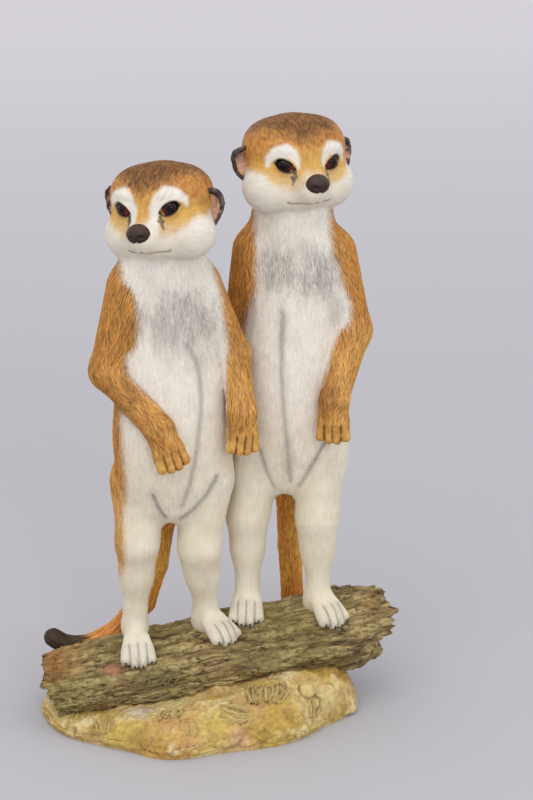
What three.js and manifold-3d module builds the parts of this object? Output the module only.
// A painted casting: a short and a tall meerkat standing side by side on a weathered log,
// the log lying on a low mound of sandy ground. Millimetres, +Z up, the animals face -Y.
import * as THREE from "three";
import { mergeVertices } from "three/addons/utils/BufferGeometryUtils.js";
import Module from "manifold-3d";

const wasm = await Module();
wasm.setup();
const V = (x, y, z) => new THREE.Vector3(x, y, z);
const { lerp, clamp, smoothstep, degToRad } = THREE.MathUtils;
const UP = V(0, 0, 1), FRONT = V(0, -1, 0);

// ---------------------------------------------------------------- driving dimensions
const GAP = 0.3; // clearance between neighbouring parts
// How softly neighbouring flesh runs together.
const SOFT = { face: 3, neck: 4, limb: 5, joint: 2.5, paw: 2 };
const SPHERE = { across: 7, down: 6 }; // facets of eyes, noses and ears
const DIGIT = { across: 5, down: 4 }; // facets of fingers and toes

// Head, from its own centre: x to its left, y backwards, z up. Places, then half sizes.
const CRANIUM = { at: V(0, 0.4, 1.0), size: V(16.0, 13.6, 12.7) };
const TEMPLE = { at: V(8.2, -0.5, 4.4), size: V(7.6, 9.5, 7.4) };
const CHEEK = { at: V(10.2, -3.6, -7.8), size: V(8.0, 8.4, 8.0) };
const JAW = { at: V(0, -5.0, -9.4), size: V(12.0, 9.2, 6.2) };
const MUZZLE = { root: V(0, -6, -5.4), tip: V(0, -14.4, -6.9), rootRadius: 8.6, tipRadius: 5.2 };
const NOSE = { at: V(0, -17.6, -5.2), size: V(3.6, 2.9, 3.1) };
const EYE = { x: 7.4, y: -9.6, radius: 2.6 };
const EAR = {
  at: V(16.2, -1.4, -0.8), size: V(4.6, 2.2, 5.9),
  wall: 1.2, hollow: 1.4, flare: 36, taper: 0.3,
};

// Limb radii, from their roots outwards.
const NECK = { low: 11.5, high: 10.8, top: V(0, 2.8, -4) };
const ARM = { upper: [7.5, 6.2], lower: [6.0, 4.4] };
const HAND = { size: V(4.9, 5.8, 3.4), share: 0.45 };
const FINGER = { size: V(1.5, 3.8, 2.0), pitch: 2.6, inset: 1.2 };
const LEG = { upper: [9.6, 6.2], lower: [4.7, 4.2], deep: 1.18 };
const SOLE = { size: V(5.4, 5.0, 2.8), heel: 4.2, back: 1, drop: 4.4, toes: 5.4 };
const TOE = { size: V(1.6, 4.4, 1.9), pitch: 2.75, inset: 1.4, print: 1.22 };
const CLAW = { radius: 0.6, length: 2.2, rise: 0.2 };
const TAIL = { root: 4.7, tip: 3.1 };

// The trunk from crotch to neck: share of its height, half width, depth of belly, depth of back.
const TRUNK = [
  [0.0, 5.5, 8.0, 10.0], [0.07, 10.5, 10.8, 12.8], [0.18, 16.2, 13.8, 14.0], [0.32, 18.3, 15.0, 12.4],
  [0.5, 17.2, 14.0, 10.8], [0.68, 15.6, 12.8, 11.2], [0.84, 14.0, 12.0, 12.0], [1.0, 11.8, 10.2, 10.6],
];

// Joints of each animal: arm = shoulder, elbow, wrist, fingertips; leg = hip, knee, ankle, toe tips.
const SHORT = {
  name: "short", bodyTurn: 20, headTurn: -24, headTilt: -6, eyeRise: 1.0, earRise: { r: 1.8, l: 0 },
  crotch: V(-14.2, -5.5, 64.5), neck: V(-16.2, -4.5, 147), head: V(-15.8, -7, 165.8),
  arm_r: [V(-26.0, -8, 140.5), V(-32.8, -10, 114.8), V(-17, -22.5, 99.5), V(-12.0, -24.5, 87)],
  arm_l: [V(-5.8, -3, 140.5), V(4.0, -4, 118.5), V(7.8, -11.5, 101.5), V(8.0, -13.5, 88.5)],
  leg_r: [V(-24.4, -3, 76), V(-25.2, -9, 58), V(-26.6, -6.5, 31), V(-24.7, -20.4, 20.6)],
  leg_l: [V(-4.6, -2, 76), V(-5.8, -8, 56), V(-4.0, -3.5, 33), V(4.2, -13.6, 25.8)],
  tail: [V(-17, 5, 70), V(-18.5, 12, 58), V(-21, 14, 42), V(-25, 13.5, 29), V(-33.5, 11, 19.5),
    V(-42.5, 8.5, 15.6), V(-50.0, 7, 16.2), V(-54.4, 6, 19.6)],
};
const TALL = {
  name: "tall", bodyTurn: -8, headTurn: 24, headTilt: 0, eyeRise: -0.2, earRise: { r: 0, l: 0 },
  crotch: V(22.6, 8, 69.5), neck: V(23.4, 8.5, 156.5), head: V(23.6, 6.5, 178),
  arm_r: [V(12.2, 8, 148.5), V(8.0, 13, 122), V(-11, 14, 108), V(-20, 10.5, 103)],
  arm_l: [V(35.8, 6, 148.5), V(42.0, 3.5, 124), V(36.3, -8, 104.5), V(36.0, -9.5, 91)],
  leg_r: [V(12.6, 8, 81), V(9.4, 3, 62.5), V(9.2, 2, 36.6), V(8.8, -7.8, 29.6)],
  leg_l: [V(32.2, 8, 81), V(31.6, 2, 62), V(31.9, 0, 38), V(38.2, -9.4, 29.8)],
  tail: [V(23, 17, 76), V(22.8, 24, 62), V(23.2, 26, 44), V(24, 26, 26), V(28, 26, 14), V(37, 25, 9)],
};

// The log lies along left to right; its ends lean outwards at the top.
const LOG = {
  left: V(-54.5, -12.5, 10.2), right: V(53.8, 6.5, 27.0), depth: 15, height: 9.4,
  square: 2.3, roll: 12, lean: 1.8, sag: 0.45, worn: 0.86, rings: 12, sides: 14,
};
// Waves of the log's bark: how many go round it, how far they twist along it, their height.
const RIDGES = [[5, 7, 0.04], [9, -11, 0.03], [2, 23, 0.03]];
const GROUND = {
  centre: V(-6.0, -6, 0), width: 51, depth: 34, low: 6, high: 17.5, rim: 1.0, foot: 0.975,
  shares: [0.6, 0.86, 0.965, 1], steep: 10, sides: 22,
};
// Swellings of the ground's rim: direction in radians, spread, share of the radius.
const BULGES = [[3.9, 0.5, 0.05], [4.56, 0.22, 0.15], [5.75, 0.35, -0.09], [1.6, 0.9, -0.05]];

// ---------------------------------------------------------------- flesh as fields of distance
const soft = (a, b, k) => {
  const h = Math.max(k - Math.abs(a - b), 0) / k;
  return Math.min(a, b) - (h * h * k) / 4;
};
const blend = (k, ...fields) => (p) => fields.reduce((d, f) => soft(d, f(p), k), 1e3);

// A limb that runs softly into the trunk at its root: the softness fades out between two shares
// of its length.
const fading = (limb, trunk, u, from, to) => (p) =>
  soft(limb(p), trunk(p), SOFT.limb * (1.002 - smoothstep(u, from, to)));

// A segment of limb from a to b, its radius running from ra to rb, broadened along a unit vector.
function bone(a, b, [ra, rb], side = UP, wide = 1) {
  const d = b.clone().sub(a), l2 = d.lengthSq(), q = V();
  return (p) => {
    q.copy(p).sub(a);
    const t = clamp(q.dot(d) / l2, 0, 1);
    q.addScaledVector(d, -t);
    q.addScaledVector(side, q.dot(side) * (1 / wide - 1));
    return q.length() - lerp(ra, rb, t);
  };
}

// An egg of half sizes r at c, turned by a quaternion.
function egg(c, r, turn) {
  const back = turn.clone().invert(), q = V(), small = Math.min(r.x, r.y, r.z);
  return (p) => {
    q.copy(p).sub(c).applyQuaternion(back).divide(r);
    const k = q.length();
    return k < 1e-6 ? -small : (k * (k - 1)) / q.divide(r).length();
  };
}

// The trunk: an oval at every height, its belly and back of different depths.
function trunkField(m, turn) {
  const rows = new THREE.CatmullRomCurve3(TRUNK.map((r) => V(r[1], r[2], r[3])), false, "catmullrom", 0.5);
  const shares = TRUNK.map((r) => r[0]), last = shares.length - 1;
  const back = turn.clone().invert(), q = V(), c = V(), size = V();
  return (p) => {
    const t = (p.z - m.crotch.z) / (m.neck.z - m.crotch.z), s = clamp(t, 0, 1);
    let i = 0;
    while (i < last - 1 && s > shares[i + 1]) i++;
    rows.getPoint((i + (s - shares[i]) / (shares[i + 1] - shares[i])) / last, size);
    c.lerpVectors(m.crotch, m.neck, t);
    q.copy(p).sub(c).applyQuaternion(back);
    const deep = q.y < 0 ? size.y : size.z;
    const d = (Math.hypot(q.x / size.x, q.y / deep) - 1) * Math.min(size.x, deep);
    return -soft(-d, p.z - m.crotch.z, 5);
  };
}

// ---------------------------------------------------------------- surfaces
const solidOf = (geometry) => {
  const bare = geometry.clone();
  bare.deleteAttribute("normal");
  bare.deleteAttribute("uv");
  const merged = mergeVertices(bare, 1e-4);
  const vertProperties = merged.attributes.position.array, triVerts = new Uint32Array(merged.index.array);
  return new wasm.Manifold(new wasm.Mesh({ numProp: 3, vertProperties, triVerts }));
};

function geometryOf(solid) {
  const mesh = solid.getMesh(), geometry = new THREE.BufferGeometry();
  geometry.setAttribute("position", new THREE.BufferAttribute(new Float32Array(mesh.vertProperties), 3));
  geometry.setIndex(new THREE.BufferAttribute(new Uint32Array(mesh.triVerts), 1));
  geometry.computeVertexNormals();
  return geometry;
}

// Closes rows of points into a solid: a row of one point is a pole, every other row is a ring.
function closed(rows) {
  const points = rows.flat(), index = [];
  let base = 0;
  for (let i = 0; i + 1 < rows.length; i++) {
    const a = rows[i].length, b = rows[i + 1].length, n = Math.max(a, b), next = base + a;
    for (let j = 0; j < n; j++) {
      const k = (j + 1) % n;
      if (a > 1) index.push(base + j, base + k, next + (b > 1 ? k : 0));
      if (b > 1) index.push(base + (a > 1 ? j : 0), next + k, next + j);
    }
    base = next;
  }
  return solidOf(new THREE.BufferGeometry().setFromPoints(points).setIndex(index));
}

// How far a ray from c along d runs before it leaves the field, no farther than most.
function reach(field, c, d, most) {
  const p = V(), at = (r) => field(p.copy(d).multiplyScalar(r).add(c));
  let a = 0, b = 0.4;
  while (b < most && at(b) < 0) {
    a = b;
    b += 0.6;
  }
  if (b >= most) return most;
  for (let i = 0; i < 12; i++) {
    const middle = (a + b) / 2;
    if (at(middle) < 0) a = middle;
    else b = middle;
  }
  return (a + b) / 2;
}

// A closed surface round a spine. Rays leave the spine in rings and stop where the flesh ends; a round
// end fans them out to a pole, a flat end is a disc. own is the part's own flesh, near(p, u) the flesh
// with its neighbours, which may swell the part by fillet at most. ends are the planes of the two ends.
function flesh(spec, grow = 0) {
  const { spine, rings, sides, own, near = own, fillet, face, ends = [], round = [2, 2] } = spec;
  const curve = new THREE.CatmullRomCurve3(spine, false, "centripetal");
  const ring = (u, tilt) => {
    const c = curve.getPointAt(u), t = (ends[u] ?? curve.getTangentAt(u)).clone();
    const e1 = face.clone().addScaledVector(t, -face.dot(t)).normalize(), e2 = t.clone().cross(e1);
    const count = Math.abs(tilt) > 0.999 ? 1 : sides, flat = Math.sqrt(1 - tilt * tilt);
    return Array.from({ length: count }, (_, j) => {
      const a = (2 * Math.PI * j) / sides;
      const d = t.clone().multiplyScalar(tilt);
      d.addScaledVector(e1, Math.cos(a) * flat).addScaledVector(e2, Math.sin(a) * flat).normalize();
      const most = reach(own, c, d, 40) + fillet;
      return d.multiplyScalar(reach((p) => near(p, u), c, d, most) + grow).add(c);
    });
  };
  const dome = (end, n) =>
    Array.from({ length: n }, (_, i) => ring(end, (2 * end - 1) * Math.cos((i * Math.PI) / 2 / n)));
  const cap = (end, n) => (n ? dome(end, n) : [[curve.getPointAt(end)]]);
  const middle = Array.from({ length: rings + 1 }, (_, i) => ring(i / rings, 0));
  return closed([...cap(0, round[0]), ...middle, ...cap(1, round[1]).reverse()]);
}

// An egg-shaped solid, narrowed towards its foot by taper.
function ball(c, r, turn, { across, down } = SPHERE, taper = 0) {
  const g = new THREE.SphereGeometry(1, across, down).rotateX(Math.PI / 2), at = g.attributes.position;
  for (let i = 0; i < at.count; i++) at.setX(i, at.getX(i) * (1 + taper * at.getZ(i)));
  return solidOf(g.scale(r.x, r.y, r.z).applyQuaternion(turn).translate(c.x, c.y, c.z));
}
const basis = (x, y, z) => {
  const frame = new THREE.Matrix4().makeBasis(x, y, z);
  return new THREE.Quaternion().setFromRotationMatrix(frame);
};
const about = (deg, axis = UP) => new THREE.Quaternion().setFromAxisAngle(axis, degToRad(deg));

// ---------------------------------------------------------------- placing
const group = new THREE.Group();
const rooms = []; // what is already placed, grown by the gap

// Adds a mesh, cut clear of all that is already there, and keeps its own room for the next ones.
function place(name, solid, room, look) {
  const cut = rooms.reduce((s, r) => s.subtract(r), solid);
  const whole = cut.decompose().sort((a, b) => b.volume() - a.volume())[0];
  const mesh = new THREE.Mesh(geometryOf(whole), new THREE.MeshStandardMaterial({ metalness: 0, ...look }));
  mesh.name = name;
  group.add(mesh);
  if (room) rooms.push(room);
}
const placeFlesh = (name, spec, look) => place(name, flesh(spec), flesh(spec, GAP), look);
function placeBall(name, c, r, turn, look) {
  place(name, ball(c, r, turn), ball(c, r.clone().addScalar(GAP), turn), look);
}

// Colours and sheens of the paint.
const IVORY = { color: 0xded6c2, roughness: 0.55 };
const OCHRE = { color: 0xc4823f, roughness: 0.6 };
const GOLD = { color: 0xd9ad72, roughness: 0.55 };
const DARK = { color: 0x2c2220, roughness: 0.35 };
const GLOSSY = { color: 0x1c110e, roughness: 0.15 };
const EAR_GREY = { color: 0x3d322e, roughness: 0.6 };
const WOOD = { color: 0x8d7a58, roughness: 0.85 };
const SAND = { color: 0xd8c79a, roughness: 0.85 };

// ---------------------------------------------------------------- one meerkat
function headParts(m) {
  const turn = about(m.headTurn).multiply(about(-m.headTilt, FRONT));
  const at = (v, flip = 1) => V(v.x * flip, v.y, v.z).applyQuaternion(turn).add(m.head);
  const head = blend(SOFT.face, egg(at(CRANIUM.at), CRANIUM.size, turn), egg(at(JAW.at), JAW.size, turn),
    egg(at(TEMPLE.at), TEMPLE.size, turn), egg(at(TEMPLE.at, -1), TEMPLE.size, turn),
    egg(at(CHEEK.at), CHEEK.size, turn), egg(at(CHEEK.at, -1), CHEEK.size, turn),
    bone(at(MUZZLE.root), at(MUZZLE.tip), [MUZZLE.rootRadius, MUZZLE.tipRadius]));
  return { turn, at, head };
}

function placeHead(m, { turn, at, head }, neck) {
  for (const [tag, s] of [["r", -1], ["l", 1]]) {
    const size = V(EYE.radius, EYE.radius, EYE.radius), socket = at(V(EYE.x, EYE.y, m.eyeRise), s);
    placeBall(`${m.name}_eye_${tag}`, socket, size, turn, GLOSSY);
  }
  placeBall(m.name + "_nose", at(NOSE.at), NOSE.size, turn, DARK);
  placeFlesh(m.name + "_head", {
    spine: [at(V(0, 3, 0)), at(V(0, -1, -1)), at(V(0, -8, -4))], rings: 3, sides: 18, own: head,
    near: blend(SOFT.joint, head, neck), fillet: 0.5, face: UP, round: [2, 3],
  }, GOLD);
  for (const [tag, s] of [["r", -1], ["l", 1]]) {
    const lean = turn.clone().multiply(about(s * EAR.flare));
    const c = at(EAR.at, s).add(V(0, 0, m.earRise[tag]));
    const front = FRONT.clone().applyQuaternion(lean);
    const inner = EAR.size.clone().subScalar(EAR.wall);
    const hollow = ball(c.clone().addScaledVector(front, EAR.hollow), inner, lean, SPHERE, EAR.taper);
    const shell = ball(c, EAR.size, lean, SPHERE, EAR.taper).subtract(hollow);
    place(`${m.name}_ear_${tag}`, shell, null, EAR_GREY);
  }
}

function placeArm(m, tag, a, trunk, ahead) {
  const [shoulder, elbow, wrist, tip] = a.joints;
  const along = tip.clone().sub(wrist).normalize(), side = along.clone().cross(ahead).normalize();
  const turn = basis(side, along, side.clone().cross(along));
  const cut = along.clone().add(wrist.clone().sub(elbow).normalize()).normalize();
  const palmAt = wrist.clone().lerp(tip, HAND.share);
  const stub = bone(wrist, palmAt, [ARM.lower[1], HAND.size.z]);
  const own = blend(SOFT.joint, a.upper, a.lower, stub);
  const hand = blend(SOFT.paw, stub, egg(palmAt, HAND.size, turn), a.lower);
  const bend = elbow.clone().lerp(shoulder.clone().add(wrist).divideScalar(2), 0.12);
  placeFlesh(`${m.name}_arm_${tag}`, {
    spine: [shoulder, shoulder.clone().lerp(elbow, 0.55), bend, wrist], rings: 7, sides: 8,
    own, fillet: 2.5, face: ahead, round: [2, 0], ends: [undefined, cut],
    near: (p, u) => (u > 0.7 ? soft(own(p), hand(p), SOFT.paw) : fading(own, trunk, u, 0.1, 0.45)(p)),
  }, OCHRE);
  let paw = flesh({
    spine: [wrist.clone().addScaledVector(cut, GAP), wrist.clone().lerp(tip, 0.6)], rings: 2, sides: 8,
    own: hand, near: blend(SOFT.paw, own, hand), fillet: 0.8, face: ahead, round: [0, 2], ends: [cut],
  });
  for (let i = 0; i < 4; i++) {
    const back = FINGER.size.y + (i === 0 || i === 3 ? FINGER.inset : 0);
    const c = tip.clone().addScaledVector(along, -back).addScaledVector(side, (i - 1.5) * FINGER.pitch);
    paw = paw.add(ball(c, FINGER.size, turn, DIGIT));
  }
  place(`${m.name}_forepaw_${tag}`, paw, null, OCHRE);
}

function placeLeg(m, tag, l, trunk, ahead) {
  const [hip, knee, ankle, toes] = l.joints;
  const flat = toes.clone().sub(ankle).setZ(0).normalize(), side = UP.clone().cross(flat).normalize();
  const slope = toes.clone().sub(ankle).normalize(), turn = basis(side, slope, side.clone().cross(slope));
  const heel = ankle.clone().addScaledVector(flat, -SOLE.back).add(V(0, 0, -SOLE.drop));
  const pad = toes.clone().addScaledVector(slope, -SOLE.toes);
  const sole = blend(SOFT.joint, bone(heel, pad, [SOLE.heel, SOLE.size.z]), egg(pad, SOLE.size, turn));
  const own = blend(SOFT.joint, l.upper, l.lower);
  const spec = {
    spine: [heel, pad], rings: 1, sides: 8, face: UP,
    own: sole, near: blend(SOFT.paw, sole, l.lower), fillet: 0.6,
  };
  let foot = flesh(spec);
  for (let i = 0; i < 4; i++) {
    const back = TOE.size.y + (i === 0 || i === 3 ? TOE.inset : 0);
    const c = toes.clone().addScaledVector(slope, -back).addScaledVector(side, (i - 1.5) * TOE.pitch);
    const claw = new THREE.ConeGeometry(CLAW.radius, CLAW.length, DIGIT.down).applyQuaternion(turn);
    const nail = c.clone().addScaledVector(slope, TOE.size.y).add(V(0, 0, CLAW.rise));
    foot = foot.add(ball(c, TOE.size, turn, DIGIT)).add(solidOf(claw.translate(nail.x, nail.y, nail.z)));
  }
  const spread = TOE.size.clone().add(V(1.5 * TOE.pitch, CLAW.length / 2, TOE.size.z / 2)).multiplyScalar(TOE.print);
  const print = ball(toes.clone().addScaledVector(slope, -TOE.size.y), spread, turn);
  place(`${m.name}_foot_${tag}`, foot, flesh(spec, GAP).add(print), IVORY);
  placeFlesh(`${m.name}_leg_${tag}`, {
    spine: [hip, knee, ankle], rings: 5, sides: 9, own, fillet: 2.2, face: ahead, round: [2, 0],
    near: (p, u) => soft(fading(own, trunk, u, 0.1, 0.6)(p), sole(p), SOFT.joint),
  }, IVORY);
}

function meerkat(m) {
  const body = about(m.bodyTurn), ahead = FRONT.clone().applyQuaternion(body);
  const face = headParts(m), trunk = trunkField(m, body);
  const neck = bone(m.neck, m.head.clone().add(NECK.top), [NECK.low, NECK.high]);
  const limb = (joints, size, wide = 1) => ({
    joints,
    upper: bone(joints[0], joints[1], size.upper, ahead, wide),
    lower: bone(joints[1], joints[2], size.lower),
  });
  const arms = { r: limb(m.arm_r, ARM), l: limb(m.arm_l, ARM) };
  const legs = { r: limb(m.leg_r, LEG, LEG.deep), l: limb(m.leg_l, LEG, LEG.deep) };
  const torso = blend(SOFT.limb, trunk, legs.r.upper, legs.l.upper, neck);
  const shoulders = [arms.r.upper, arms.l.upper];

  placeFlesh(m.name + "_trunk", {
    spine: [m.crotch.clone().add(V(0, 0, 7)), m.neck], rings: 8, sides: 14, own: trunk,
    near: blend(SOFT.neck, torso, ...shoulders), fillet: 0.8, face: ahead, round: [2, 0], ends: [UP, UP],
  }, IVORY);
  placeHead(m, face, neck);
  const above = m.neck.clone().add(V(0, 0, GAP));
  placeFlesh(m.name + "_neck", {
    spine: [above, m.head.clone().lerp(above, 0.25)], rings: 2, sides: 14, own: neck,
    near: blend(SOFT.neck, torso, face.head, ...shoulders), fillet: 2.5,
    face: ahead, round: [0, 0], ends: [UP],
  }, IVORY);
  for (const [tag, leg] of Object.entries(legs)) placeLeg(m, tag, leg, trunk, ahead);
  for (const [tag, arm] of Object.entries(arms)) placeArm(m, tag, arm, trunk, ahead);

  const thick = (i) => lerp(TAIL.root, TAIL.tip, i / (m.tail.length - 1));
  const tail = blend(1, ...m.tail.slice(1).map((p, i) => bone(m.tail[i], p, [thick(i), thick(i + 1)])));
  placeFlesh(m.name + "_tail", {
    spine: m.tail, rings: 11, sides: 6, own: tail, fillet: 2, face: V(1, 0, 0), round: [0, 2],
    near: (p, u) => fading(tail, trunk, u, 0, 0.3)(p),
  }, OCHRE);
}
meerkat(SHORT);
meerkat(TALL);

// ---------------------------------------------------------------- log and ground
// Rings of a broad, flattened log with shallow ridges that run along it.
function logSolid(grow) {
  const run = LOG.right.clone().sub(LOG.left), t = run.clone().normalize();
  const deep = UP.clone().cross(t).normalize().applyAxisAngle(t, degToRad(LOG.roll));
  const high = t.clone().cross(deep), corner = (x) => Math.abs(x) ** LOG.square;
  const ring = (u, share) => Array.from({ length: LOG.sides }, (_, j) => {
    const a = (2 * Math.PI * j) / LOG.sides, c = Math.cos(a), s = Math.sin(a);
    const ridge = RIDGES.reduce((r, [around, along, high]) => r + high * Math.sin(around * a + along * u), 1);
    const r = (corner(c) + corner(s)) ** (-1 / LOG.square) * ridge * share;
    const height = LOG.height * (s < 0 ? 1 + LOG.sag * smoothstep(u, 0.6, 1) : 1);
    return LOG.left.clone().addScaledVector(run, u).addScaledVector(t, LOG.lean * s * (2 * u - 1))
      .addScaledVector(deep, c * (LOG.depth * r + grow)).addScaledVector(high, s * (height * r + grow));
  });
  const share = (i) => (i % LOG.rings ? 1 : LOG.worn);
  const rows = Array.from({ length: LOG.rings + 1 }, (_, i) => ring(i / LOG.rings, share(i)));
  const ends = [LOG.left.clone().addScaledVector(t, -grow), LOG.right.clone().addScaledVector(t, grow)];
  return closed([[ends[0]], ...rows, [ends[1]]]);
}

// A mound with a wavy rim, fuller at the front left, higher towards the right, flat underneath.
function groundSolid() {
  const rim = (a) => {
    const bulge = ([at, spread, more]) => more * Math.exp(-(((a - at) / spread) ** 2));
    const swell = BULGES.reduce((r, b) => r + bulge(b), 1);
    return V(GROUND.width * Math.cos(a), GROUND.depth * Math.sin(a), 0).multiplyScalar(swell);
  };
  const ring = (share, height) => Array.from({ length: GROUND.sides }, (_, j) => {
    const p = rim((2 * Math.PI * j) / GROUND.sides).multiplyScalar(share);
    const top = lerp(GROUND.low, GROUND.high, smoothstep(p.x, -GROUND.width, GROUND.width));
    return p.add(GROUND.centre).setZ(GROUND.rim + (top - GROUND.rim) * height);
  });
  const rows = GROUND.shares.map((s) => ring(s, Math.sqrt(1 - s ** GROUND.steep)));
  const foot = ring(GROUND.foot, 0).map((p) => p.setZ(0));
  const crown = GROUND.centre.clone().setZ((GROUND.low + GROUND.high) / 2);
  return closed([[GROUND.centre], foot, ...rows.reverse(), [crown]]);
}
place("log", logSolid(0), logSolid(GAP), WOOD);
place("ground", groundSolid(), null, SAND);

const box = new THREE.Box3().setFromObject(group), middle = box.getCenter(V());
group.position.set(-middle.x, -middle.y, -box.min.z);
export default group;
